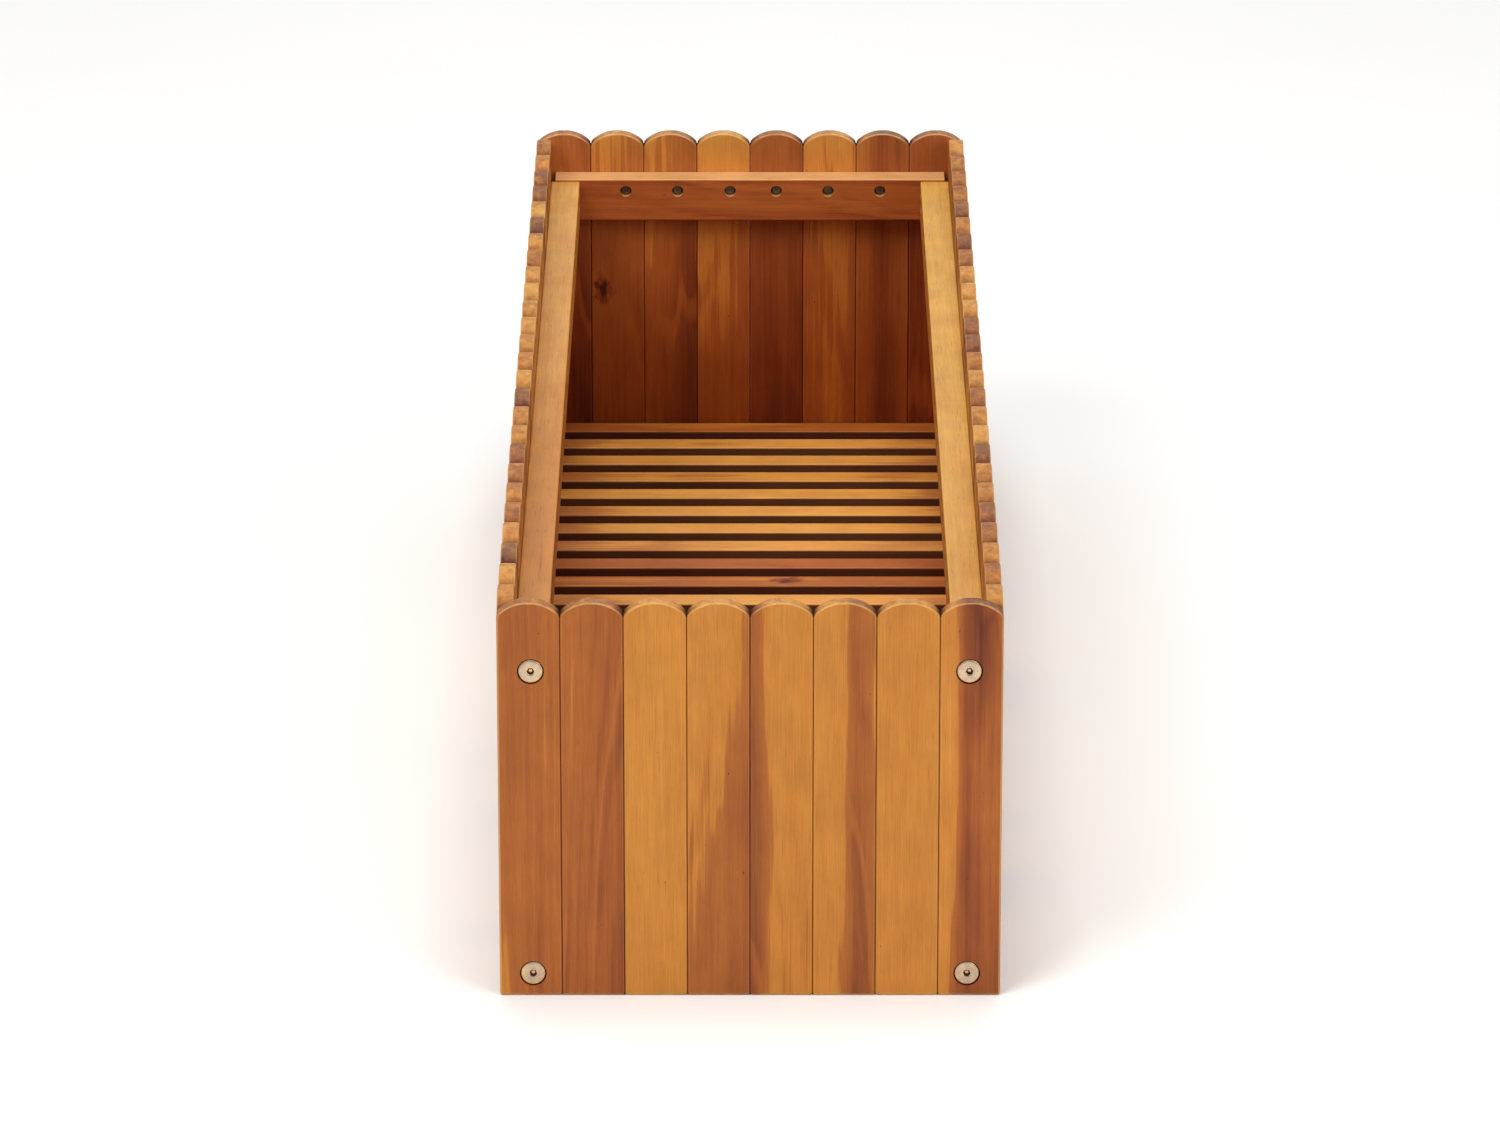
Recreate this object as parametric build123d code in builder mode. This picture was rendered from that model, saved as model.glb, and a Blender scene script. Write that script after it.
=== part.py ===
from build123d import *
import os

# A long open trough of oiled hardwood: round-topped upright boards on four
# panels, rails inside them, a slatted floor, and bolts that join the panels.
# X runs across the trough, Y along it and Z up; the origin is under its middle.

# Overall size, in millimetres
length = 1000
width = 300
height = 250

# Upright boards
board_thickness = 10
board_gap = 0.4
crown_rise = 8
shoulder_radius = 2.5
edge_ease = 1.5
end_board_count = 8
side_board_count = 26

# Rails: two along each side and two across each end
rail_thickness = 20
rail_height = 28
top_rail_middle = 206.5
bottom_rail_middle = rail_height / 2
top_cross_rail_height = 30
top_cross_rail_lift = 0.5
cross_rail_gap = 3
rail_ease = 1

# Floor slats
slat_count = 27
slat_width = 20
slat_thickness = 8
slat_ease = 1.2
slat_end_gap = 1
first_slat_gap = 2

# Furniture bolts, one at each end of each side rail, with barrel nuts
bolt_diameter = 6
bolt_length = 50
bolt_hole_radius = 3.25
bolt_head_diameter = 15
bolt_head_height = 2
bolt_head_bevel = 0.7
bolt_recess_radius = 8
bolt_recess_depth = 2.5
socket_across_flats = 4
socket_depth = 2.6
nut_diameter = 10
nut_length = 14
nut_clearance = 0.1
nut_slot_width = 1.4
nut_slot_depth = 1.5
nut_inset = 15
thread_clearance = 0.05

# Wood screws, all the same size
screw_diameter = 3.5
screw_length = 20
screw_tip = 3
screw_tip_cut = 1.4
screw_head_diameter = 6.8
screw_head_height = 2
screw_head_bevel = 0.7
recess_length = 3.6
recess_width = 0.8
recess_depth = 1
screw_hole_radius = 1.8
screw_bore_radius = 4
rail_bore_depth = 6
floor_bore_depth = 12
board_pilot_depth = 7
slat_pilot_depth = 4.5
screw_lift = 7
end_screw_places = (-124, -91.5, -55, -18.5, 14, 51, 87.5, 124)
last_side_screw = 464
end_slat_screw = 100

# Worked-out sizes
side_length = length - 2 * board_thickness
rail_inner_x = width / 2 - board_thickness - rail_thickness
rail_middle_x = rail_inner_x + rail_thickness / 2
side_rail_length = side_length - 2 * rail_thickness
cross_rail_length = width - 2 * board_thickness - 2 * cross_rail_gap
slat_length = width - 2 * board_thickness - 2 * slat_end_gap
slat_pitch = (side_length - 2 * first_slat_gap - slat_width) / (slat_count - 1)
end_board_pitch = (width + board_gap) / end_board_count
side_board_pitch = (side_length + board_gap) / side_board_count
rail_middles = {"top": top_rail_middle, "bottom": bottom_rail_middle}

# The outer face of each panel: local x runs to the right as seen from outside
panels = {
    "near_end": Plane(origin=(0, -length / 2, 0), x_dir=(1, 0, 0), z_dir=(0, -1, 0)),
    "far_end": Plane(origin=(0, length / 2, 0), x_dir=(-1, 0, 0), z_dir=(0, 1, 0)),
    "left_side": Plane(origin=(-width / 2, 0, 0), x_dir=(0, -1, 0), z_dir=(-1, 0, 0)),
    "right_side": Plane(origin=(width / 2, 0, 0), x_dir=(0, 1, 0), z_dir=(1, 0, 0)),
}

os.makedirs("parts", exist_ok=True)


def centres(count, pitch):
    """Evenly spaced places, symmetric about zero."""
    return [(i - (count - 1) / 2) * pitch for i in range(count)]


def side_screw_places():
    """One screw in the middle of each side board; the last ones stand back over the rail's end."""
    places = centres(side_board_count, side_board_pitch)
    return [-last_side_screw] + places[1:-1] + [last_side_screw]


def slat_screw_points():
    """Two screws under each slat; the end slats stand over the cross rails."""
    rows = centres(slat_count, slat_pitch)
    points = [(side * rail_middle_x, y) for y in rows[1:-1] for side in (-1, 1)]
    points += [(side * end_slat_screw, y) for y in (rows[0], rows[-1]) for side in (-1, 1)]
    return points


def facing_in(face, depth):
    """A plane parallel to an outer face, some depth behind it and looking into the trough."""
    return Plane(origin=face.origin - face.z_dir * depth, x_dir=-face.x_dir, z_dir=-face.z_dir)


def save(builder, name):
    builder.part.label = name
    export_step(builder.part, f"parts/{name}.step")


def board(face, centre, board_width, screw_x, bolt_x=None):
    """A round-topped board standing on the ground, with its outer face on the given plane."""
    left = centre - board_width / 2
    right = centre + board_width / 2
    shoulder = height - crown_rise
    with BuildPart() as piece:
        with BuildSketch(face) as outline:
            with BuildLine():
                Polyline((left, shoulder), (left, 0), (right, 0), (right, shoulder))
                ThreePointArc((right, shoulder), (centre, height), (left, shoulder))
            make_face()
            fillet(outline.vertices().group_by(Axis.Z)[-1], radius=shoulder_radius)
        extrude(amount=-board_thickness)
        fillet(piece.faces().filter_by(face).edges(), radius=edge_ease)
        with Locations(facing_in(face, board_thickness)):
            with Locations(*[(-screw_x, middle + screw_lift) for middle in rail_middles.values()]):
                Hole(screw_hole_radius, depth=board_pilot_depth)
        if bolt_x is not None:
            with Locations(face):
                with Locations(*[(bolt_x, middle) for middle in rail_middles.values()]):
                    CounterBoreHole(bolt_hole_radius, bolt_recess_radius, bolt_recess_depth)
    return piece


def rail(face, rail_length, middle, tall=rail_height):
    """A plain rail behind a panel's boards, with its long edges eased."""
    with BuildPart() as piece:
        with BuildSketch(face.offset(-board_thickness)):
            with Locations((0, middle)):
                Rectangle(rail_length, tall)
        extrude(amount=-rail_thickness)
        fillet(piece.edges().filter_by(Axis(face.origin, face.x_dir)), radius=rail_ease)
    return piece


def cross_rail(face, level):
    """A rail across an end: screws hold the boards to it and the bolts pass through it.

    The top one is a little taller than the side rails that butt against it."""
    middle = rail_middles[level]
    with BuildPart() as piece:
        if level == "top":
            add(rail(face, cross_rail_length, middle + top_cross_rail_lift, top_cross_rail_height).part)
        else:
            add(rail(face, cross_rail_length, middle).part)
        with Locations(facing_in(face, board_thickness + rail_thickness)):
            with Locations(*[(-x, middle + screw_lift) for x in end_screw_places]):
                CounterBoreHole(screw_hole_radius, screw_bore_radius, rail_bore_depth)
            with Locations(*[(x, middle) for x in (-rail_middle_x, rail_middle_x)]):
                Hole(bolt_hole_radius)
        if level == "bottom":
            row = (side_length / 2 - first_slat_gap - slat_width / 2) * face.z_dir.Y
            with Locations(Plane(origin=(0, row, 0), z_dir=(0, 0, -1))):
                with Locations((-end_slat_screw, 0), (end_slat_screw, 0)):
                    CounterBoreHole(screw_hole_radius, screw_bore_radius, floor_bore_depth)
    return piece


def side_rail(face, level):
    """A rail along a side: screws hold the boards to it, bolts and barrel nuts hold its ends."""
    middle = rail_middles[level]
    inside = facing_in(face, board_thickness + rail_thickness)
    rail_end = side_rail_length / 2
    bolt_hole_depth = bolt_length - (board_thickness - bolt_recess_depth) - rail_thickness + 2
    nut_hole_depth = (rail_thickness + nut_length) / 2
    with BuildPart() as piece:
        add(rail(face, side_rail_length, middle).part)
        with Locations(inside):
            with Locations(*[(-y, middle + screw_lift) for y in side_screw_places()]):
                CounterBoreHole(screw_hole_radius, screw_bore_radius, rail_bore_depth)
            with Locations(*[(y, middle) for y in (nut_inset - rail_end, rail_end - nut_inset)]):
                Hole(nut_diameter / 2 + nut_clearance, depth=nut_hole_depth)
        axis_x = rail_middle_x * face.z_dir.X
        for toward in (-1, 1):
            with Locations(Plane(origin=(axis_x, toward * rail_end, middle), z_dir=(0, toward, 0))):
                Hole(bolt_hole_radius, depth=bolt_hole_depth)
        if level == "bottom":
            own_side = [(x, y) for x, y in slat_screw_points() if x == axis_x]
            with Locations(*[Plane(origin=(x, y, 0), z_dir=(0, 0, -1)) for x, y in own_side]):
                CounterBoreHole(screw_hole_radius, screw_bore_radius, floor_bore_depth)
    return piece


def floor_slat(y):
    """A slat lying across the bottom rails, screwed from below."""
    underside = [(x, row) for x, row in slat_screw_points() if row == y]
    with BuildPart() as piece:
        with BuildSketch(Plane.XY.offset(rail_height)):
            with Locations((0, y)):
                Rectangle(slat_length, slat_width)
        extrude(amount=slat_thickness)
        fillet(piece.edges().filter_by(Axis.X), radius=slat_ease)
        with Locations(*[Plane(origin=(x, row, rail_height), z_dir=(0, 0, -1)) for x, row in underside]):
            Hole(screw_hole_radius, depth=slat_pilot_depth)
    return piece


def furniture_bolt():
    """A low-headed bolt with a hexagon socket, pointing down from the underside of its head."""
    with BuildPart() as piece:
        with BuildSketch():
            Circle(bolt_head_diameter / 2)
        extrude(amount=bolt_head_height)
        chamfer(piece.edges().group_by(Axis.Z)[-1], length=bolt_head_bevel)
        with BuildSketch():
            Circle(bolt_diameter / 2)
        extrude(amount=-bolt_length)
        chamfer(piece.edges().group_by(Axis.Z)[0], length=bolt_head_bevel)
        with BuildSketch(Plane.XY.offset(bolt_head_height)):
            RegularPolygon(socket_across_flats / 2, 6, major_radius=False)
        extrude(amount=-socket_depth, mode=Mode.SUBTRACT)
    return piece


def barrel_nut():
    """A cross dowel along Z, threaded through its middle along X, with a slot in its upper end."""
    with BuildPart() as piece:
        Cylinder(nut_diameter / 2, nut_length)
        with Locations(Plane.YZ.offset(nut_diameter)):
            Hole(bolt_diameter / 2 + thread_clearance)
        with BuildSketch(Plane.XY.offset(nut_length / 2)):
            Rectangle(nut_diameter, nut_slot_width)
        extrude(amount=-nut_slot_depth, mode=Mode.SUBTRACT)
    return piece


def wood_screw():
    """A flat-headed screw with a cross recess, pointing down from the underside of its head."""
    with BuildPart() as piece:
        with BuildSketch():
            Circle(screw_head_diameter / 2)
        extrude(amount=screw_head_height)
        chamfer(piece.edges().group_by(Axis.Z)[-1], length=screw_head_bevel)
        with BuildSketch():
            Circle(screw_diameter / 2)
        extrude(amount=-screw_length)
        chamfer(piece.edges().group_by(Axis.Z)[0], length=screw_tip, length2=screw_tip_cut)
        with BuildSketch(Plane.XY.offset(screw_head_height)):
            Rectangle(recess_length, recess_width)
            Rectangle(recess_width, recess_length)
        extrude(amount=-recess_depth, mode=Mode.SUBTRACT)
    return piece


def save_copies(pattern, seats, name):
    """Separate copies of one fastener, one at each seat plane, in a single node."""
    with BuildPart() as group:
        with Locations(*seats):
            add(pattern.part)
    save(group, name)


def panel_screw_seats(panel, places):
    """Seats on the floors of the counterbores in one panel's rails."""
    inside = facing_in(panels[panel], board_thickness + rail_thickness - rail_bore_depth)
    seats = []
    for middle in rail_middles.values():
        for place in places:
            origin = inside.from_local_coords((-place, middle + screw_lift, 0))
            seats.append(Plane(origin=origin, z_dir=inside.z_dir))
    return seats


# End panels: boards, then the cross rails behind them
end_board_width = end_board_pitch - board_gap
for panel in ("near_end", "far_end"):
    face = panels[panel]
    for i, x in enumerate(centres(end_board_count, end_board_pitch)):
        outermost = i in (0, end_board_count - 1)
        bolt_x = (rail_middle_x if x > 0 else -rail_middle_x) if outermost else None
        end_board = board(face, x, end_board_width, end_screw_places[i], bolt_x)
        number = i + 1 if panel == "near_end" else end_board_count - i
        save(end_board, f"{panel}_board_{number}")
    for level in rail_middles:
        save(cross_rail(face, level), f"{panel}_{level}_rail")

# Side panels: boards as one group a side, then the long rails
side_board_width = side_board_pitch - board_gap
for panel in ("left_side", "right_side"):
    face = panels[panel]
    with BuildPart() as side_boards:
        places = zip(centres(side_board_count, side_board_pitch), side_screw_places())
        for y, screw_y in places:
            add(board(face, y, side_board_width, screw_y).part)
    save(side_boards, f"{panel}_boards")
    for level in rail_middles:
        save(side_rail(face, level), f"{panel}_{level}_rail")

# Floor, numbered from the far end
for i, y in enumerate(reversed(centres(slat_count, slat_pitch))):
    save(floor_slat(y), f"floor_slat_{i + 1:02d}")

# Bolts sit in the recesses of the end boards; barrel nuts lie across the side rails' ends
bolt_seats = []
nut_seats = []
for toward in (-1, 1):
    for x in (-rail_middle_x, rail_middle_x):
        for middle in rail_middles.values():
            seat_y = toward * (length / 2 - bolt_recess_depth)
            bolt_seats.append(Plane(origin=(x, seat_y, middle), z_dir=(0, toward, 0)))
            nut_y = toward * (side_rail_length / 2 - nut_inset)
            inward = -1 if x > 0 else 1
            nut_seats.append(Plane(origin=(x, nut_y, middle), x_dir=(0, 1, 0), z_dir=(inward, 0, 0)))
save_copies(furniture_bolt(), bolt_seats, "frame_bolts")
save_copies(barrel_nut(), nut_seats, "barrel_nuts")

# Screws: rails to boards, and bottom rails to slats
screw = wood_screw()
end_seats = panel_screw_seats("near_end", end_screw_places) + panel_screw_seats("far_end", end_screw_places)
save_copies(screw, end_seats, "end_panel_screws")
for panel in ("left_side", "right_side"):
    save_copies(screw, panel_screw_seats(panel, side_screw_places()), f"{panel}_screws")
floor_seats = [Plane(origin=(x, y, floor_bore_depth), z_dir=(0, 0, -1)) for x, y in slat_screw_points()]
save_copies(screw, floor_seats, "floor_screws")
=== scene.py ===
import math
import random

import bmesh
import bpy
from mathutils import Matrix, Vector


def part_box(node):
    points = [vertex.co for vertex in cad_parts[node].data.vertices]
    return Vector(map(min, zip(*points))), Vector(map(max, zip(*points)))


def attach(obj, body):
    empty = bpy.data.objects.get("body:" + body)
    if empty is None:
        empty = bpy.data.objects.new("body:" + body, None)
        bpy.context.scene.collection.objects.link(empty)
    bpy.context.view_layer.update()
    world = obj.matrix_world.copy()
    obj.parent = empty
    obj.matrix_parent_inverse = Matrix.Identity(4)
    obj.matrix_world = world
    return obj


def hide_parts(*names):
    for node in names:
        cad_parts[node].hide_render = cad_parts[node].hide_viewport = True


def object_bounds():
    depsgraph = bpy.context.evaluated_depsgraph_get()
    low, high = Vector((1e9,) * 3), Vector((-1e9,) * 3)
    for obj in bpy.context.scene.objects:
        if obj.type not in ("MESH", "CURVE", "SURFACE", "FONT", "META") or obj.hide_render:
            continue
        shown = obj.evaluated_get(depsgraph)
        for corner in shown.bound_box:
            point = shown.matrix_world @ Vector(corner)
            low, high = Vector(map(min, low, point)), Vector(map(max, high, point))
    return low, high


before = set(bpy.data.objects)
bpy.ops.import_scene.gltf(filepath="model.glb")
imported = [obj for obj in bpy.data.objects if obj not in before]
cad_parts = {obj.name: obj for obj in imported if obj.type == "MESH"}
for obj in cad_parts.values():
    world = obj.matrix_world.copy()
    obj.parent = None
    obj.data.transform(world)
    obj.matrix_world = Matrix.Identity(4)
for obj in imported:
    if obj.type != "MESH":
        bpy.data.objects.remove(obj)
cad_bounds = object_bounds()

MM = 0.001
BODY = "root"

# Camera: a long lens in front of the near end, looking down on the trough
CAMERA_LENS_MM = 194.2
CAMERA_PITCH_DEG = 19.244
CAMERA_PLACE = (0.0, -5.0, 1.846)

# Boards and slats; columns are places across a board, from its left edge at -1 to its right at 1
CROWN_RISE = 8 * MM
BOARD_EASE = 1.25 * MM
SLAT_EASE = 1.3 * MM
CORNER_MARGIN = 0.3 * MM
JOINT = 0.01 * MM
SIDE_BOARD_COUNT = 26
END_BOARD_COUNT = 8
SIDE_BOARD_COLUMNS = (-1, -0.72, -0.4, -0.1, 0.2, 0.5, 0.78, 1)
END_BOARD_COLUMNS = tuple(i / 8 for i in range(-8, 9))
SLAT_COLUMNS = (-1, -0.3, 0.3, 1)

# Bolts; heights are above a head's seat, and the socket's floor rises to its centre
BOLT_HEAD_RADIUS = 7.5 * MM
BOLT_HEAD_HEIGHT = 2 * MM
BOLT_HEAD_BEVEL = 2 * MM
BOLT_LENGTH = 50 * MM
BOLT_SHANK_RADIUS = 3 * MM
SOCKET_ACROSS_FLATS = 4 * MM
SOCKET_CHAMFER_GROWTH = 1.25
SOCKET_FLOOR = -0.6 * MM
SOCKET_CENTRE = 0.6 * MM

# The recesses that the bolts sit in, with the value that paints their walls and floors dark as shade
BOLT_RECESS_RADIUS = 8 * MM
BOLT_RECESS_DEPTH = 2.5 * MM
BOLT_RECESS_SHADE = -0.9

# Points in each circle of a bolt or recess
AROUND = 48

# Growth rings of the wood, and the wider ones that show as pale lines in its dark parts
RING_PERIOD = 4.2 * MM
WIDE_RING_PERIOD = 12.5 * MM


# ---------------------------------------------------------------- wood shader

class Tree:
    """Short calls for building a material's node tree."""

    def __init__(self, name):
        self.material = bpy.data.materials.new(name)
        self.material.use_nodes = True
        self.nodes = self.material.node_tree.nodes
        self.links = self.material.node_tree.links
        self.shader = self.nodes["Principled BSDF"]

    def put(self, target, value):
        """Link an output, or set a constant, on an input socket."""
        if isinstance(value, bpy.types.NodeSocket):
            self.links.new(value, target)
        else:
            target.default_value = value

    def node(self, kind, **settings):
        made = self.nodes.new(kind)
        for key, value in settings.items():
            setattr(made, key, value)
        return made

    def math(self, operation, a, b=0.0, c=0.0, clamp=False):
        made = self.node("ShaderNodeMath", operation=operation, use_clamp=clamp)
        for socket, value in zip(made.inputs, (a, b, c)):
            self.put(socket, value)
        return made.outputs[0]

    def vector(self, operation, a, b=(0, 0, 0)):
        made = self.node("ShaderNodeVectorMath", operation=operation)
        self.put(made.inputs[0], a)
        self.put(made.inputs[1], b)
        return made.outputs["Value"] if operation == "LENGTH" else made.outputs[0]

    def attribute(self, name, output="Fac"):
        return self.node("ShaderNodeAttribute", attribute_name=name).outputs[output]

    def noise(self, place, scale, detail=2.0, rough=0.5):
        """Noise at the given cells per metre across, through and along the grain."""
        made = self.node("ShaderNodeTexNoise")
        self.put(made.inputs["Vector"], self.vector("MULTIPLY", place, scale))
        made.inputs["Scale"].default_value = 1.0
        made.inputs["Detail"].default_value = detail
        made.inputs["Roughness"].default_value = rough
        return made.outputs["Fac"]

    def spread(self, value, low, high, to_low=0.0, to_high=1.0):
        made = self.node("ShaderNodeMapRange", clamp=True)
        for socket, number in zip(made.inputs, (value, low, high, to_low, to_high)):
            self.put(socket, number)
        return made.outputs[0]

    def ramp(self, value, stops):
        made = self.node("ShaderNodeValToRGB")
        self.put(made.inputs[0], value)
        elements = made.color_ramp.elements
        while len(elements) < len(stops):
            elements.new(0.5)
        for element, (place, colour) in zip(elements, stops):
            element.position = place
            element.color = (*colour, 1)
        return made.outputs[0]

    def mix(self, factor, a, b, blend="MIX"):
        made = self.node("ShaderNodeMix", data_type="RGBA", blend_type=blend)
        self.put(made.inputs["Factor"], factor)
        self.put(made.inputs["A"], a)
        self.put(made.inputs["B"], b)
        return made.outputs["Result"]

    def bump(self, height, strength, distance):
        made = self.node("ShaderNodeBump")
        made.inputs["Strength"].default_value = strength
        made.inputs["Distance"].default_value = distance
        self.put(made.inputs["Height"], height)
        self.put(self.shader.inputs["Normal"], made.outputs[0])


# Oiled acacia from pale sapwood to dark heartwood, in linear colour
WOOD_STOPS = (
    (0.0, (0.74, 0.37, 0.095)),
    (0.26, (0.60, 0.235, 0.036)),
    (0.46, (0.555, 0.20, 0.028)),
    (0.50, (0.42, 0.128, 0.021)),
    (0.62, (0.375, 0.105, 0.018)),
    (0.76, (0.26, 0.062, 0.012)),
    (0.86, (0.17, 0.034, 0.008)),
    (1.0, (0.065, 0.012, 0.004)),
)
# End grain is greyer, and darkens more with the heartwood
END_STOPS = (
    (0.0, (0.66, 0.37, 0.12)),
    (0.3, (0.52, 0.24, 0.062)),
    (0.5, (0.36, 0.145, 0.042)),
    (0.7, (0.20, 0.080, 0.044)),
    (1.0, (0.080, 0.034, 0.026)),
)
# A rubbed corner's colour, partly wear and partly a painted highlight on the rounded edge
WORN_EDGE_AND_HIGHLIGHT = (0.90, 0.56, 0.22, 1)
# The colour of joints, slat gaps and bolt recesses, partly dirt and partly painted shade
JOINT_DIRT_AND_SHADE = (0.045, 0.007, 0.0018, 1)
PORE_DARK = (0.10, 0.035, 0.015, 1)
SPECK_DARK = (0.035, 0.012, 0.006, 1)


def centred(tree, value):
    """A noise value moved to lie about zero."""
    return tree.math("SUBTRACT", value, 0.5)


def ring_radius(tree, place):
    """The distance from the pith, with rings that wander, and change slowly along the grain."""
    radius = tree.vector("LENGTH", tree.vector("MULTIPLY", place, (1, 1, 0.035)))
    wander = centred(tree, tree.noise(place, (16, 16, 2.6), 3.0, 0.55))
    radius = tree.math("MULTIPLY_ADD", wander, 0.014, radius)
    fine_wander = tree.noise(place, (120, 120, 7), 2.0)
    return tree.math("MULTIPLY_ADD", fine_wander, 0.0016, radius)


def wood(tree, place, heart, end_grain, wear, tone, knot=None):
    """Solid wood about a pith that runs along the grain: rings, streaks, fibres and pores."""
    radius = ring_radius(tree, place)
    ring = tree.math("SINE", tree.math("MULTIPLY", radius, 2 * math.pi / RING_PERIOD))
    ring = tree.spread(ring, -0.2, 1.0)
    wide_ring = tree.math("SINE", tree.math("MULTIPLY", radius, 2 * math.pi / WIDE_RING_PERIOD))
    broad = tree.noise(place, (42, 42, 2.4), 4.0, 0.55)
    streak = tree.noise(place, (330, 330, 5.0), 3.0, 0.6)
    fibre = tree.noise(place, (1500, 1500, 28), 3.0, 0.6)
    pore = tree.spread(tree.noise(place, (1100, 1100, 55), 1.0), 0.66, 0.74)
    speck = tree.spread(tree.noise(place, (330, 330, 210), 1.0), 0.80, 0.83)
    sheen = tree.spread(tree.noise(place, (55, 55, 38), 3.0, 0.6), 0.3, 0.7, 0.92, 1.08)
    blotch = centred(tree, tree.noise(place, (190, 190, 40), 3.0, 0.6))

    # How deep in the heartwood each point looks
    depth = tree.math("MULTIPLY_ADD", centred(tree, broad), 0.34, heart)
    depth = tree.math("MULTIPLY_ADD", centred(tree, streak), 0.26, depth)
    depth = tree.math("MULTIPLY_ADD", ring, 0.055, depth)
    line = tree.math("MULTIPLY", tree.spread(wide_ring, 0.965, 1.0), tree.spread(depth, 0.5, 0.66))
    depth = tree.math("MULTIPLY_ADD", line, -0.13, depth)
    if knot is not None:
        ragged = centred(tree, tree.noise(place, (260, 260, 130), 3.0))
        span = tree.math("MULTIPLY_ADD", ragged, 2.6, tree.vector("LENGTH", knot))
        depth = tree.math("ADD", depth, tree.spread(span, 0.2, 1.3, 0.5, 0.0))

    # The colour of the faces, then of the end grain, rubbed corners that are partly wear and partly a
    # painted highlight, and dark joints and recesses that are partly dirt and partly painted shade
    colour = tree.ramp(depth, WOOD_STOPS)
    colour = tree.mix(1.0, colour, tree.spread(fibre, 0.3, 0.7, 0.86, 1.10), "MULTIPLY")
    colour = tree.mix(1.0, colour, sheen, "MULTIPLY")
    colour = tree.mix(tree.math("MULTIPLY", pore, 0.2), colour, PORE_DARK)
    colour = tree.mix(tree.math("MULTIPLY", speck, 0.75), colour, SPECK_DARK)
    ends = tree.math("MULTIPLY_ADD", centred(tree, fibre), 0.5, depth)
    ends = tree.ramp(tree.math("MULTIPLY_ADD", blotch, 1.1, ends), END_STOPS)
    colour = tree.mix(tree.math("MULTIPLY", end_grain, 0.85), colour, ends)
    # Rubbed corners lighten: partly wear, partly a painted highlight
    rubbed_and_highlit = tree.math("MAXIMUM", wear, 0.0)
    rubbed_and_highlit = tree.math("MULTIPLY", rubbed_and_highlit, tree.spread(streak, 0.3, 0.7, 0.25, 0.62))
    colour = tree.mix(rubbed_and_highlit, colour, WORN_EDGE_AND_HIGHLIGHT)
    # Joints, slat sides and bolt recesses darken: partly dirt, partly painted shade
    grime_and_shade = tree.math("MAXIMUM", tree.math("MULTIPLY", wear, -1.0), 0.0)
    grime_and_shade = tree.math("MULTIPLY", grime_and_shade, 0.93)
    colour = tree.mix(grime_and_shade, colour, JOINT_DIRT_AND_SHADE)
    # The tone carries painted light and shade on the far end, the paler slats and the rails' tops
    colour = tree.mix(1.0, colour, tone, "MULTIPLY")
    tree.put(tree.shader.inputs["Base Color"], colour)

    # The gloss and relief of the oiled surface
    rough = tree.spread(fibre, 0.3, 0.7, 0.40, 0.54)
    rough = tree.math("MULTIPLY_ADD", pore, 0.12, rough)
    rough = tree.math("MULTIPLY_ADD", end_grain, 0.25, rough)
    tree.put(tree.shader.inputs["Roughness"], tree.math("MULTIPLY_ADD", grime_and_shade, 0.5, rough, clamp=True))
    tree.shader.inputs["Specular IOR Level"].default_value = 0.26
    height = tree.math("MULTIPLY_ADD", pore, -0.8, fibre)
    height = tree.math("MULTIPLY_ADD", ring, 0.35, height)
    tree.bump(height, 0.35, 0.3 * MM)


def board_wood():
    """The one wood that reads each board's own grain, colour, and edge wear with painted light and shade,
    from its mesh.
    """
    tree = Tree("board_wood")
    wood(
        tree,
        tree.attribute("grain", "Vector"),
        tree.attribute("heart"),
        tree.attribute("end_grain"),
        tree.attribute("wear"),
        tree.attribute("tone", "Color"),
        tree.attribute("knot", "Vector"),
    )
    return tree.material


def rail_wood(name, along, heart, lit_top_heart, lean, pith, tone, lit_top_tone):
    """Wood for a rail whose grain runs along one axis of the frame.

    The upper face has its own heart value and tone, a painted highlight where light falls from above, and
    lean is how much darker it gets a metre."""
    tree = Tree(name)
    place = tree.node("ShaderNodeTexCoord").outputs["Object"]
    split = tree.node("ShaderNodeSeparateXYZ")
    tree.put(split.inputs[0], place)
    order = {"X": ("Y", "Z", "X"), "Y": ("X", "Z", "Y")}[along]
    joined = tree.node("ShaderNodeCombineXYZ")
    for socket, axis in zip(joined.inputs, order):
        tree.put(socket, split.outputs[axis])
    place = tree.vector("ADD", joined.outputs[0], pith)
    facing = tree.node("ShaderNodeSeparateXYZ")
    tree.put(facing.inputs[0], tree.node("ShaderNodeTexCoord").outputs["Normal"])
    ends = tree.math("ABSOLUTE", facing.outputs[along])
    # Up-facing faces blend to the paler top heart and tone, a painted highlight
    lit_top = tree.spread(facing.outputs["Z"], 0.3, 0.9)
    depth = tree.math("MULTIPLY_ADD", lit_top, lit_top_heart - heart, heart)
    depth = tree.math("MULTIPLY_ADD", split.outputs[along], lean, depth)
    wood(tree, place, depth, ends, 0.0, tree.mix(lit_top, (*tone, 1), (*lit_top_tone, 1)))
    return tree.material


def metal(name, colour, second, roughness):
    """Plated metal with a faint cloudy tarnish and fine wear."""
    tree = Tree(name)
    place = tree.node("ShaderNodeTexCoord").outputs["Object"]
    cloud = tree.noise(place, (210, 210, 210), 3.0)
    grit = tree.noise(place, (2600, 2600, 2600), 2.0)
    tree.put(tree.shader.inputs["Base Color"], tree.mix(tree.spread(cloud, 0.38, 0.62), colour, second))
    tree.put(tree.shader.inputs["Roughness"], tree.spread(grit, 0.3, 0.7, roughness - 0.06, roughness + 0.1))
    tree.shader.inputs["Metallic"].default_value = 1.0
    tree.bump(grit, 0.12, 0.1 * MM)
    return tree.material


# ---------------------------------------------------------------- slabs of wood

def arc(centre, radius, start, end, steps):
    """Points on an arc, in degrees from +X towards +Z."""
    points = []
    for i in range(steps + 1):
        angle = math.radians(start + (end - start) * i / steps)
        points.append((centre[0] + radius * math.cos(angle), centre[1] + radius * math.sin(angle)))
    return points


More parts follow.
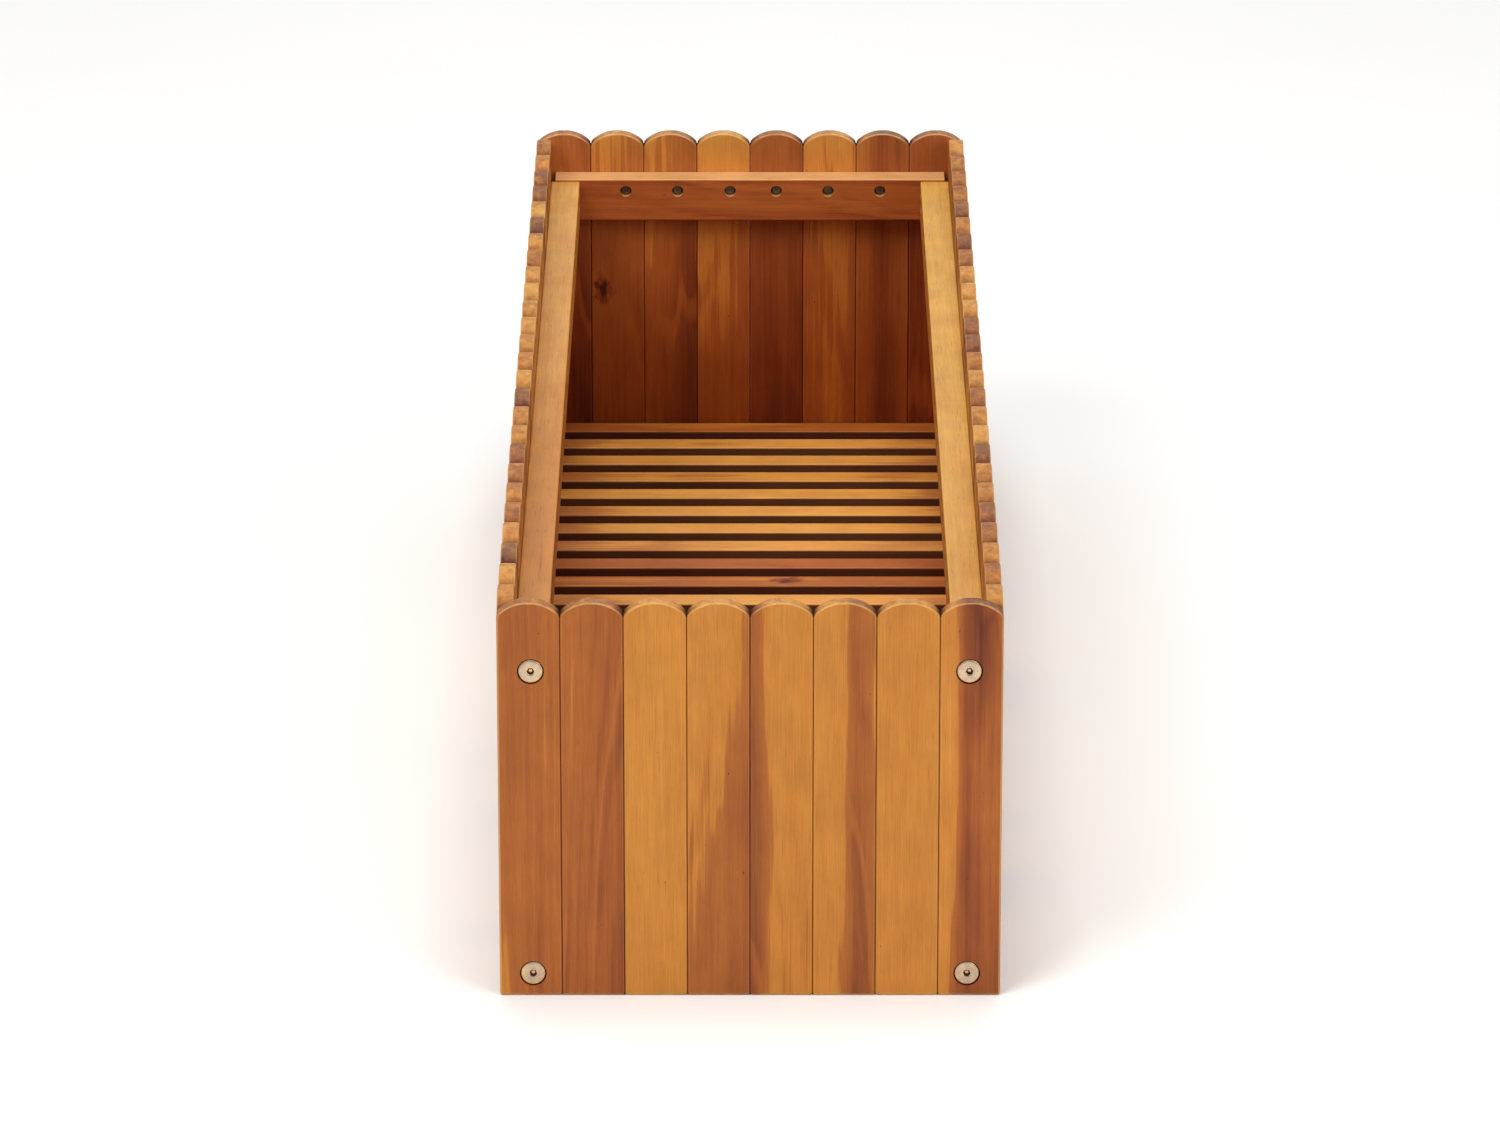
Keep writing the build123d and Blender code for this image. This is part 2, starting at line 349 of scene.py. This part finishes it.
def board_rows(width, height):
    """Half the outline of a round-topped board, from the foot to the crown."""
    half = width / 2
    corner = BOARD_EASE + CORNER_MARGIN
    radius = (half * half + CROWN_RISE * CROWN_RISE) / (2 * CROWN_RISE)
    centre = height - radius
    edge_angle = math.degrees(math.asin(half / radius))
    shoulder = height - CROWN_RISE - 1.8 * MM
    rows = arc((half - corner, corner), corner, -90, 0, 3)
    rows += [(half, corner + (shoulder - corner) * i / 6) for i in range(1, 7)]
    start = 90 - edge_angle + 6
    crown = arc((0, centre), radius, start, 84.5, 9)
    blend_x = (half + crown[0][0]) / 2 + 0.45 * MM
    blend_z = (shoulder + crown[0][1]) / 2 + 0.2 * MM
    rows += [(blend_x, blend_z)] + crown
    return rows


def plain_rows(width, height):
    """Half the outline of a rectangular slab with softened corners."""
    half = width / 2
    corner = SLAT_EASE + CORNER_MARGIN
    rows = arc((half - corner, corner), corner, -90, 0, 2)
    rows += [(half, corner + (height - 2 * corner) * i / 8) for i in range(1, 8)]
    rows += arc((half - corner, height - corner), corner, 0, 90, 2)
    return rows


def inset(loop, amount):
    """Each point of a closed outline moved inwards along its normal, with that normal."""
    moved = []
    count = len(loop)
    for i, (x, z) in enumerate(loop):
        before = Vector(loop[i - 1])
        after = Vector(loop[(i + 1) % count])
        run = (after - before).normalized()
        normal = Vector((run.y, -run.x))
        moved.append((x - normal.x * amount, z - normal.y * amount, normal))
    return moved


def whole_outline(rows, columns):
    """The closed outline of a slab from half of it, with its foot and crown divided into columns."""
    loop = [(f * rows[0][0], rows[0][1]) for f in columns]
    loop += rows[1:]
    loop += [(f * rows[-1][0], rows[-1][1]) for f in reversed(columns[:-1])]
    loop += [(-x, z) for x, z in reversed(rows[1:-1])]
    return loop


def edge_levels(thickness, ease):
    """Steps round a slab's edge, front to back: how far in, how deep, and how far turned outwards."""
    steps = 4
    levels = []
    for k in range(steps + 1):
        angle = math.pi / 2 * k / steps
        levels.append((ease * (1 - math.sin(angle)), ease * (1 - math.cos(angle)), math.sin(angle)))
    levels += [(inwards, thickness - depth, turn) for inwards, depth, turn in reversed(levels)]
    return levels


def slab(rows, columns, thickness, ease, board_look, joints=(True, True)):
    """A slab with rounded edges in local axes: x across, y through from the front face, z along the grain.

    rows is half its outline, foot first, and columns are the places across that divide its faces.
    joints says whether its left and right edges meet a neighbour, where dust, oil and painted shade darken
    them.
    Returns its vertices, faces and, for each vertex, the values the wood shader reads."""
    loop = whole_outline(rows, columns)
    levels = edge_levels(thickness, ease)
    verts = []
    values = []
    for inwards, depth, turn in levels:
        for x, z, normal in inset(loop, inwards):
            verts.append((x, depth, z))
            met = joints[1] if x > 0 else joints[0]
            facing = min(max((abs(normal.x) - 0.45) / 0.35, 0), 1) if met else 0
            values.append((turn * abs(normal.y), edge_wear_and_shading(turn, facing)))
    faces = []
    count = len(loop)
    for level in range(len(levels) - 1):
        for i in range(count):
            j = (i + 1) % count
            a = level * count
            faces.append((a + i, a + count + i, a + count + j, a + j))

    row_count = len(rows)
    column_count = len(columns)
    for start, flip in ((0, False), ((len(levels) - 1) * count, True)):
        grid = [list(range(start, start + column_count))]
        for i in range(1, row_count - 1):
            right = start + column_count - 1 + i
            left = start + count - i
            row = [left]
            for f in columns[1:-1]:
                spot = Vector(verts[left]).lerp(Vector(verts[right]), (f + 1) / 2)
                row.append(len(verts))
                verts.append(tuple(spot))
                values.append((0.0, 0.0))
            grid.append(row + [right])
        crown = start + column_count + row_count - 2
        grid.append([crown + column_count - 1 - j for j in range(column_count)])
        for i in range(row_count - 1):
            for j in range(column_count - 1):
                quad = (grid[i][j], grid[i][j + 1], grid[i + 1][j + 1], grid[i + 1][j])
                faces.append(tuple(reversed(quad)) if flip else quad)
    half = max(x for x, z in rows)
    return verts, faces, wood_values(verts, values, half, rows[-1][1], board_look)


def wood_values(points, values, half, tall, board_look):
    """What the wood shader reads at each point of a board, in the board's local axes.

    values holds each point's share of end grain and its edge wear with painted light and shade."""
    data = {"grain": [], "heart": [], "end_grain": [], "wear": [], "tone": [], "knot": []}
    px, py, pz = board_look["pith"]
    kx, kz, size = board_look["knot"]
    for (x, y, z), (end, wear) in zip(points, values):
        data["grain"].append((x + px, y + py, z + pz))
        data["heart"].append(blend_heart(board_look["heart"], x / half, z / tall))
        data["end_grain"].append(end)
        data["wear"].append(wear)
        # Painted light and shade up the board's height; plain on all boards but the far end's
        shade = blend_shade(board_look["shades"], z / tall)
        data["tone"].append((*(a * b for a, b in zip(board_look["tone"], shade)), 1))
        data["knot"].append(((x - kx) / size, 0, (z - kz) / (size * 1.7)))
    return data


def write_look(mesh, data):
    """Store the shader's values on a mesh's points."""
    kinds = {"grain": "FLOAT_VECTOR", "knot": "FLOAT_VECTOR", "tone": "FLOAT_COLOR"}
    fields = {"grain": "vector", "knot": "vector", "tone": "color"}
    for key, items in data.items():
        if key in mesh.attributes:
            mesh.attributes.remove(mesh.attributes[key])
        layer = mesh.attributes.new(key, kinds.get(key, "FLOAT"), "POINT")
        flat = [n for item in items for n in item] if key in kinds else items
        layer.data.foreach_set(fields.get(key, "value"), flat)


def edge_wear_and_shading(turn, facing):
    """Near 1 on a rubbed corner, which is wear and a painted highlight, 0 on a flat face, and below 0 where
    an edge faces its neighbour, which is dirt and painted shade.

    turn is 0 on a face and 1 on the edge, and facing is 1 where a neighbour is met."""
    rubbed_and_highlit = 0.1 if turn > 0.99 else math.sin(math.pi * turn)
    dusty_and_shaded = 0.3 * math.sin(math.pi * turn) - turn ** 3
    return rubbed_and_highlit * (1 - facing) + dusty_and_shaded * facing


def blend_heart(heart, across, up):
    """How dark the heartwood is, from rows of values listed foot first, each from left to right."""
    place = min(max(up, 0), 1) * (len(heart) - 1)
    low = min(int(place), len(heart) - 2)
    part = place - low
    levels = []
    for row in heart[low:low + 2]:
        spot = (min(max(across, -1), 1) + 1) / 2 * (len(row) - 1)
        left = min(int(spot), len(row) - 2)
        share = spot - left
        levels.append(row[left] * (1 - share) + row[left + 1] * share)
    return levels[0] * (1 - part) + levels[1] * part


def blend_shade(shades, up):
    """A colour from a list that runs from the foot to the crown."""
    if len(shades) == 1:
        return shades[0]
    place = min(max(up, 0), 1) * (len(shades) - 1)
    low = min(int(place), len(shades) - 2)
    return Vector(shades[low]).lerp(Vector(shades[low + 1]), place - low)


def keep_flat(piece):
    """Shade rounded edges smoothly while broad faces stay flat."""
    steady = piece.modifiers.new("weighted_normals", "WEIGHTED_NORMAL")
    steady.keep_sharp = True


def build(name, slabs, material, node):
    """One piece from slabs given as (vertices, faces, values, placing matrix), standing for a CAD node."""
    verts = []
    faces = []
    data = {}
    for local, quads, values, matrix in slabs:
        start = len(verts)
        verts += [matrix @ Vector(v) for v in local]
        flipped = matrix.to_3x3().determinant() < 0
        for quad in quads:
            quad = [start + i for i in quad]
            faces.append(quad[::-1] if flipped else quad)
        for key, items in values.items():
            data.setdefault(key, []).extend(items)
    mesh = bpy.data.meshes.new(name)
    mesh.from_pydata(verts, [], faces)
    write_look(mesh, data)
    mesh.materials.append(material)
    mesh.shade_smooth()
    mesh.update()
    piece = bpy.data.objects.new(name, mesh)
    bpy.context.scene.collection.objects.link(piece)
    keep_flat(piece)
    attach(piece, BODY)
    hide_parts(node)
    return piece


# ---------------------------------------------------------------- looks of the boards

# Tones, which multiply the wood's colour
GOLD = (0.86, 0.86, 0.80)
WARM = (0.88, 0.84, 0.80)
DEEP = (0.80, 0.74, 0.70)
# The next tone is painted light: well above one and strongest in blue, it brightens the paler slats and
# whitens them like a sheen
PAINTED_LIGHT_SLAT = (1.34, 1.60, 2.15)
RED = (1.06, 0.96, 0.84)
DULL = (0.90, 0.90, 0.90)
PLAIN = (1.0, 1.0, 1.0)
# Painted light and shade on the far end's boards from foot to crown: dark and red painted shade low down,
# painted light just under the top rail, and a pale painted highlight at the crown
FAR_PAINTED_LIGHT = ((0.84, 0.56, 0.40), (0.86, 0.57, 0.41), (1.24, 1.06, 1.24), (1.12, 1.26, 1.65))

# A knot: how far across and up its board it is, and its size, in metres
NO_KNOT = (9.0, 9.0, 0.01)
FAR_KNOT = (-0.011, 0.135, 0.006)
SLAT_KNOT = (0.001, 0.165, 0.006)


def look(heart, tone, pith, knot=NO_KNOT, shades=(PLAIN,)):
    """A board's looks: rows of heart values, tone, place from its pith, knot, and tones up its height that
    paint light and shade.
    """
    return {"heart": heart, "tone": tone, "pith": pith, "knot": knot, "shades": shades}


# Near end boards from left to right; rows of heart values run from the foot to the crown
NEAR_LOOKS = (
    look(
        [(0.34, 0.58, 0.60), (0.48, 0.52, 0.62), (0.56, 0.50, 0.58), (0.58, 0.52, 0.54)],
        WARM, (0.02, 0.03, 0.3),
    ),
    look(
        [(0.62, 0.64, 0.74), (0.54, 0.62, 0.68), (0.50, 0.58, 0.64), (0.54, 0.55, 0.58)],
        WARM, (-0.03, 0.02, 1.1),
    ),
    look([(0.36, 0.38, 0.36), (0.30, 0.30, 0.30), (0.28, 0.28, 0.30)], GOLD, (0.05, 0.05, 2.3)),
    look(
        [(0.56, 0.64, 0.66), (0.40, 0.54, 0.60), (0.32, 0.42, 0.54), (0.28, 0.30, 0.36)],
        GOLD, (-0.02, 0.02, 3.7),
    ),
    look(
        [
            (0.78, 0.70, 0.40, 0.38, 0.38, 0.38, 0.38), (0.72, 0.62, 0.38, 0.35, 0.34, 0.34, 0.34),
            (0.70, 0.54, 0.36, 0.34, 0.32, 0.32, 0.32),
        ],
        GOLD, (0.03, 0.03, 4.2),
    ),
    look(
        [
            (0.34, 0.36, 0.38, 0.46, 0.72, 0.70, 0.52), (0.30, 0.32, 0.34, 0.40, 0.68, 0.64, 0.46),
            (0.28, 0.30, 0.32, 0.38, 0.64, 0.60, 0.42),
        ],
        GOLD, (0.04, 0.02, 5.5),
    ),
    look([(0.36, 0.38, 0.38), (0.32, 0.34, 0.34), (0.32, 0.34, 0.34)], GOLD, (-0.05, 0.04, 6.1)),
    look(
        [
            (0.26, 0.28, 0.64, 0.74, 0.76, 0.76, 0.74, 0.72, 0.72),
            (0.24, 0.26, 0.60, 0.70, 0.74, 0.72, 0.68, 0.66, 0.66),
            (0.22, 0.24, 0.32, 0.66, 0.68, 0.64, 0.60, 0.62, 0.64),
            (0.22, 0.24, 0.30, 0.64, 0.68, 0.64, 0.60, 0.62, 0.64),
            (0.22, 0.24, 0.30, 0.66, 0.68, 0.64, 0.62, 0.66, 0.68),
            (0.22, 0.24, 0.30, 0.68, 0.80, 0.86, 0.84, 0.74, 0.72),
            (0.30, 0.34, 0.46, 0.74, 0.84, 0.86, 0.84, 0.80, 0.80),
        ],
        WARM, (0.03, 0.01, 7.9),
    ),
)
# Far end boards from left to right, as seen from inside
FAR_LOOKS = (
    look([(0.76, 0.80), (0.66, 0.70), (0.56, 0.58)], WARM, (0.02, 0.02, 10.2), NO_KNOT, FAR_PAINTED_LIGHT),
    look([(0.64, 0.64), (0.54, 0.56), (0.44, 0.46)], GOLD, (0.03, 0.02, 11.3), FAR_KNOT, FAR_PAINTED_LIGHT),
    look([(0.58, 0.86), (0.50, 0.80), (0.40, 0.56)], GOLD, (0.01, 0.03, 12.1), NO_KNOT, FAR_PAINTED_LIGHT),
    look([(0.60, 0.60), (0.50, 0.48), (0.30, 0.34)], GOLD, (-0.02, 0.03, 13.8), NO_KNOT, FAR_PAINTED_LIGHT),
    look([(0.78, 0.76), (0.70, 0.70), (0.56, 0.58)], DEEP, (0.01, 0.02, 14.4), NO_KNOT, FAR_PAINTED_LIGHT),
    look([(0.52, 0.56), (0.50, 0.52), (0.44, 0.46)], GOLD, (0.03, 0.03, 15.2), NO_KNOT, FAR_PAINTED_LIGHT),
    look(
        [(0.50, 0.80, 0.54), (0.50, 0.76, 0.54), (0.46, 0.74, 0.70)],
        GOLD, (-0.01, 0.02, 16.6), NO_KNOT, FAR_PAINTED_LIGHT,
    ),
    look([(0.76, 0.78), (0.72, 0.74), (0.62, 0.64)], WARM, (0.02, 0.01, 17.5), NO_KNOT, FAR_PAINTED_LIGHT),
)


def random_look(dice):
    """A board cut at random: mostly golden, some with dark heartwood on one side."""
    base = dice.choice((0.26, 0.3, 0.36, 0.42, 0.5, 0.62, 0.7))
    lean = dice.uniform(-0.14, 0.14)
    drift = dice.uniform(-0.06, 0.06)
    heart = [(base - lean + drift, base + lean + drift), (base - lean, base + lean)]
    tone = dice.choice((GOLD, GOLD, WARM, DEEP))
    pith = (dice.uniform(-0.05, 0.05), dice.uniform(0.01, 0.05), dice.uniform(20, 90))
    return look(heart, tone, pith)


# ---------------------------------------------------------------- pieces

def cutter(x, z, inner, outer):
    """A cylinder along Y that cuts a bolt recess, from one depth to another."""
    mesh = bmesh.new()
    middle = (inner + outer) / 2
    turn = Matrix.Translation((x, middle, z)) @ Matrix.Rotation(math.pi / 2, 4, "X")
    bmesh.ops.create_cone(
        mesh, cap_ends=True, segments=AROUND, radius1=BOLT_RECESS_RADIUS, radius2=BOLT_RECESS_RADIUS,
        depth=abs(outer - inner), matrix=turn,
    )
    data = bpy.data.meshes.new("cutter")
    mesh.to_mesh(data)
    mesh.free()
    made = bpy.data.objects.new("cutter", data)
    bpy.context.scene.collection.objects.link(made)
    return made


def cut(piece, tools, place, size, board_look):
    """Cut tools out of a board and apply the result; its grain runs on inside the cuts, whose walls and
    floors are painted dark as shade.
    """
    known = {}
    for i, point in enumerate(piece.data.vertices):
        values = tuple(piece.data.attributes[key].data[i].value for key in ("end_grain", "wear"))
        known[tuple(round(c, 5) for c in point.co)] = values
    piece.modifiers.clear()
    for tool in tools:
        change = piece.modifiers.new("cut", "BOOLEAN")
        change.operation = "DIFFERENCE"
        change.solver = "EXACT"
        change.object = tool
    bpy.context.view_layer.update()
    graph = bpy.context.evaluated_depsgraph_get()
    result = bpy.data.meshes.new_from_object(piece.evaluated_get(graph))
    piece.modifiers.clear()
    piece.data = result
    local = [place.inverted() @ point.co for point in result.vertices]
    values = []
    for point, spot in zip(result.vertices, local):
        # New points inside a recess are painted dark, as shade
        fresh = (0.0, BOLT_RECESS_SHADE if spot.y > 1 * MM else 0.0)
        values.append(known.get(tuple(round(c, 5) for c in point.co), fresh))
    write_look(result, wood_values(local, values, *size, board_look))
    keep_flat(piece)
    for tool in tools:
        bpy.data.objects.remove(tool)


def end_board(node, number, board_look, material):
    """An end board, numbered from 0 at the left of its panel, with its place and size for cutting it."""
    low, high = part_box(node)
    outward = -1 if low[1] < 0 else 1
    front = low[1] if outward < 0 else high[1]
    pitch = (cad_bounds[1][0] - cad_bounds[0][0]) / END_BOARD_COUNT
    centre = cad_bounds[0][0] + (number + 0.5) * pitch
    width = pitch - JOINT
    thickness = high[1] - low[1]
    rows = board_rows(width, high[2])
    meets = (number > 0, number < END_BOARD_COUNT - 1)
    made = slab(rows, END_BOARD_COLUMNS, thickness, BOARD_EASE, board_look, meets)
    place = Matrix.Translation((centre, front, 0)) @ Matrix.Diagonal((1, -outward, 1, 1))
    piece = build(f"{node}_wood", [(*made, place)], material, node)
    return piece, front, outward, place, (width / 2, high[2])


def end_panels(material):
    """The boards of both ends, with bolt recesses in the outermost ones."""
    bolt_low, bolt_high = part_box("frame_bolts")
    bolt_x = bolt_high[0] - BOLT_HEAD_RADIUS
    bolt_z = (bolt_low[2] + BOLT_HEAD_RADIUS, bolt_high[2] - BOLT_HEAD_RADIUS)
    for panel, looks in (("near_end", NEAR_LOOKS), ("far_end", FAR_LOOKS)):
        for i, board_look in enumerate(looks):
            piece, front, outward, place, size = end_board(f"{panel}_board_{i + 1}", i, board_look, material)
            if i in (0, len(looks) - 1):
                x = -bolt_x if i == 0 else bolt_x
                inner = front - outward * BOLT_RECESS_DEPTH
                outer = front + outward * 2 * MM
                tools = [cutter(x, z, inner, outer) for z in bolt_z]
                cut(piece, tools, place, size, board_look)


def side_panels(material):
    """The row of boards of each long side, as one piece a side."""
    dice = random.Random(4)
    for side in ("left_side", "right_side"):
        node = f"{side}_boards"
        low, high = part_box(node)
        pitch = (high[1] - low[1]) / SIDE_BOARD_COUNT
        outward = -1 if low[0] < 0 else 1
        front = low[0] if outward < 0 else high[0]
        turn = Matrix(((0, -outward, 0, front), (1, 0, 0, 0), (0, 0, 1, 0), (0, 0, 0, 1)))
        slabs = []
        for i in range(SIDE_BOARD_COUNT):
            made = slab(
                board_rows(pitch - JOINT, high[2]), SIDE_BOARD_COLUMNS,
                high[0] - low[0], BOARD_EASE, random_look(dice),
            )
            centre = low[1] + (i + 0.5) * pitch
            slabs.append((*made, Matrix.Translation((0, centre, 0)) @ turn))
        build(f"{side}_board_row", slabs, material, node)


# Heart values of the slats, used in turn in the order of their names
SLAT_HEARTS = (0.53, 0.42, 0.37, 0.44, 0.33, 0.32, 0.35, 0.45, 0.54, 0.51, 0.38)
KNOTTED_SLAT = 9


def floor(material):
    """The slats: painted shade makes them redder at their ends, a painted highlight paler in the middle, and
    the paler ones take a painted-light tone.
    """
    dice = random.Random(11)
    nodes = sorted(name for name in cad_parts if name.startswith("floor_slat"))
    for i, node in enumerate(nodes):
        low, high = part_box(node)
        base = SLAT_HEARTS[i % len(SLAT_HEARTS)]
        lean = dice.uniform(-0.08, 0.08)
        # Darker, redder ends are painted shade near the sides of the trough, and the paler middle is a
        # painted highlight
        end = max(base, 0.52)
        lit_middle = (base, base - 0.04)
        slat_look = look(
            [(end - lean, end), lit_middle, lit_middle, (base + lean, base), (end + lean, end)],
            PAINTED_LIGHT_SLAT if base < 0.5 else RED,
            (dice.uniform(-0.03, 0.03), dice.uniform(0.01, 0.04), dice.uniform(100, 200)),
            SLAT_KNOT if i == KNOTTED_SLAT else NO_KNOT,
        )
        # A slat's long sides are darkened like joints: painted shade in the gaps between slats
        made = slab(
            plain_rows(high[1] - low[1], high[0] - low[0]), SLAT_COLUMNS,
            high[2] - low[2], SLAT_EASE, slat_look,
        )
        middle = (low[1] + high[1]) / 2
        turn = Matrix(((0, 0, 1, low[0]), (1, 0, 0, middle), (0, -1, 0, high[2]), (0, 0, 0, 1)))
        build(f"{node}_wood", [(*made, turn)], material, node)


def bolt_profile():
    """Radius and height of a bolt head's outer surface, from its rim up to its socket."""
    rim = [
        (BOLT_HEAD_RADIUS - 0.15 * MM, 0.0),
        (BOLT_HEAD_RADIUS, 0.15 * MM),
        (BOLT_HEAD_RADIUS, BOLT_HEAD_HEIGHT - 0.75 * MM),
    ]
    steps = 4
    for i in range(1, steps + 1):
        angle = math.pi / 2 * i / steps
        rim.append((
            BOLT_HEAD_RADIUS - BOLT_HEAD_BEVEL * (1 - math.cos(angle)),
            BOLT_HEAD_HEIGHT - (0.75 - 0.7 * math.sin(angle)) * MM,
        ))
    rim += [(BOLT_HEAD_RADIUS * 0.6, BOLT_HEAD_HEIGHT), (3.0 * MM, BOLT_HEAD_HEIGHT)]
    return rim


def bolt_mesh(place):
    """A low-headed bolt with a hexagon socket, as (vertices, faces) under a placing matrix."""
    turn = 2 * math.pi / AROUND
    verts = []
    faces = []
    rings = [(BOLT_SHANK_RADIUS, -BOLT_LENGTH), (BOLT_SHANK_RADIUS, 0.0)] + bolt_profile()
    for radius, height in rings:
        verts += [
            (radius * math.cos(turn * i), radius * math.sin(turn * i), height)
            for i in range(AROUND)
        ]
    flats = SOCKET_ACROSS_FLATS / 2
    chamfer_end = BOLT_HEAD_HEIGHT - 0.3 * MM
    for height, grow in ((BOLT_HEAD_HEIGHT, SOCKET_CHAMFER_GROWTH), (chamfer_end, 1.0), (SOCKET_FLOOR, 1.0)):
        for i in range(AROUND):
            angle = turn * i
            off = (angle + math.pi / 6) % (math.pi / 3) - math.pi / 6
            radius = flats * grow / math.cos(off)
            verts.append((radius * math.cos(angle), radius * math.sin(angle), height))
    for ring in range(len(rings) + 2):
        for i in range(AROUND):
            j = (i + 1) % AROUND
            a = ring * AROUND
            faces.append((a + i, a + j, a + AROUND + j, a + AROUND + i))
    faces.append(tuple(reversed(range(AROUND))))
    last = (len(rings) + 2) * AROUND
    verts.append((0, 0, SOCKET_CENTRE))
    for i in range(AROUND):
        faces.append((last + i, last + (i + 1) % AROUND, len(verts) - 1))
    return [place @ Vector(v) for v in verts], faces


def bolts(material):
    """All eight bolts as one piece, each with its socket turned a little differently."""
    dice = random.Random(3)
    low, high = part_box("frame_bolts")
    xs = (low[0] + BOLT_HEAD_RADIUS, high[0] - BOLT_HEAD_RADIUS)
    zs = (low[2] + BOLT_HEAD_RADIUS, high[2] - BOLT_HEAD_RADIUS)
    verts = []
    faces = []
    for toward, front in ((-1, low[1]), (1, high[1])):
        for x in xs:
            for z in zs:
                seat = Matrix.Translation((x, front - toward * BOLT_HEAD_HEIGHT, z))
                turn = Matrix.Rotation(-toward * math.pi / 2, 4, "X")
                spin = Matrix.Rotation(dice.uniform(0, math.pi / 3), 4, "Z")
                points, quads = bolt_mesh(seat @ turn @ spin)
                faces += [tuple(len(verts) + i for i in quad) for quad in quads]
                verts += points
    mesh = bpy.data.meshes.new("bolt_heads")
    mesh.from_pydata(verts, [], faces)
    mesh.materials.append(material)
    mesh.shade_smooth()
    piece = bpy.data.objects.new("corner_bolts", mesh)
    bpy.context.scene.collection.objects.link(piece)
    edges = piece.modifiers.new("crisp_edges", "EDGE_SPLIT")
    edges.split_angle = math.radians(38)
    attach(piece, BODY)
    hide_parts("frame_bolts")


def rails():
    """The rails keep their CAD shape, with its bores, and take their own wood.

    Each row gives what rail_wood asks for, from the axis to the tone of the up-facing faces, where the paler
    heart and tone are a painted highlight."""
    # The far top rail: ruddy sides, and a pale, bluish top that is a painted sheen
    ruddy = (1.0, 0.86, 0.92)
    pale = (0.92, 0.98, 1.5)
    looks = {
        "left_side_top_rail": ("Y", 0.46, 0.22, -0.46, (0.13, 0.0, 31.0), DULL, (0.80, 0.82, 0.76)),
        "right_side_top_rail": ("Y", 0.40, 0.08, -0.14, (-0.10, 0.0, 37.0), DULL, (0.86, 0.94, 0.70)),
        "left_side_bottom_rail": ("Y", 0.5, 0.5, 0.1, (0.15, 0.02, 41.0), DULL, DULL),
        "right_side_bottom_rail": ("Y", 0.45, 0.45, 0.1, (-0.11, 0.02, 43.0), DULL, DULL),
        "far_end_top_rail": ("X", 0.64, 0.0, 0.1, (-0.47, 0.03, 51.0), ruddy, pale),
        "near_end_top_rail": ("X", 0.42, 0.3, 0.1, (0.5, 0.02, 53.0), DULL, DULL),
        "far_end_bottom_rail": ("X", 0.5, 0.5, 0.1, (-0.46, 0.02, 57.0), DULL, DULL),
        "near_end_bottom_rail": ("X", 0.5, 0.5, 0.1, (0.46, 0.02, 59.0), DULL, DULL),
    }
    for node, values in looks.items():
        dress(node, rail_wood(f"{node}_wood", *values))


def dress(node, material):
    """A CAD node that stays gets a detailed material in every slot."""
    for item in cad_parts[node].material_slots:
        item.material = material


def stage():
    """A plain pale floor under the trough."""
    mesh = bpy.data.meshes.new("studio_floor")
    size = 12
    corners = [(-size, -size, 0), (size, -size, 0), (size, size, 0), (-size, size, 0)]
    mesh.from_pydata(corners, [], [(0, 1, 2, 3)])
    ground = bpy.data.objects.new("studio_floor", mesh)
    ground.location.z = -0.2 * MM
    bpy.context.scene.collection.objects.link(ground)
    tree = Tree("studio_floor")
    place = tree.node("ShaderNodeTexCoord").outputs["Object"]
    cloud = tree.noise(place, (3, 3, 3), 2.0)
    tree.put(tree.shader.inputs["Base Color"], tree.mix(cloud, (0.84, 0.84, 0.83, 1), (0.88, 0.88, 0.87, 1)))
    tree.shader.inputs["Roughness"].default_value = 0.9
    mesh.materials.append(tree.material)


def area_light(name, place, target, size, power, colour):
    """A rectangular light that points at a target."""
    lamp = bpy.data.lights.new(name, "AREA")
    lamp.shape = "RECTANGLE"
    lamp.size, lamp.size_y = size
    lamp.energy = power
    lamp.color = colour
    made = bpy.data.objects.new(name, lamp)
    made.location = place
    made.rotation_euler = (Vector(target) - Vector(place)).to_track_quat("-Z", "Y").to_euler()
    bpy.context.scene.collection.objects.link(made)


def lights():
    """A plain soft studio: an even white world and four large lights."""
    world = bpy.data.worlds.new("studio")
    world.use_nodes = True
    background = world.node_tree.nodes["Background"]
    background.inputs["Color"].default_value = (1, 1, 1, 1)
    background.inputs["Strength"].default_value = 0.50
    bpy.context.scene.world = world
    bpy.context.scene.view_settings.view_transform = "Standard"
    area_light("key", (-1.6, -2.2, 3.0), (0, -0.2, 0.1), (1.6, 1.6), 60, (1, 0.98, 0.95))
    area_light("fill", (2.2, -2.4, 1.6), (0, -0.2, 0.1), (2.0, 1.6), 34, (1, 0.99, 0.98))
    area_light("back", (0.0, 2.6, 2.6), (0, 0.2, 0.1), (2.4, 1.2), 26, (1, 1, 1))
    area_light("overhead", (0.0, -0.3, 3.0), (0, 0.1, 0.1), (1.0, 1.8), 40, (1, 0.99, 0.97))


def camera():
    """The camera, in front of the near end and above it."""
    lens = bpy.data.cameras.new("camera")
    lens.lens = CAMERA_LENS_MM
    lens.sensor_width = 36
    lens.clip_end = 100
    made = bpy.data.objects.new("camera", lens)
    made.location = CAMERA_PLACE
    made.rotation_euler = (math.radians(90 - CAMERA_PITCH_DEG), 0, 0)
    bpy.context.scene.collection.objects.link(made)
    bpy.context.scene.camera = made


camera()
lights()
stage()
wood_of_boards = board_wood()
end_panels(wood_of_boards)
side_panels(wood_of_boards)
floor(wood_of_boards)
rails()
bolts(metal("bolt_brass", (0.66, 0.48, 0.29, 1), (0.50, 0.38, 0.28, 1), 0.24))
dress("barrel_nuts", metal("nut_zinc", (0.60, 0.58, 0.52, 1), (0.48, 0.47, 0.44, 1), 0.34))
for screws in ("end_panel_screws", "left_side_screws", "right_side_screws", "floor_screws"):
    dress(screws, metal(f"{screws}_zinc", (0.27, 0.26, 0.23, 1), (0.17, 0.16, 0.14, 1), 0.38))
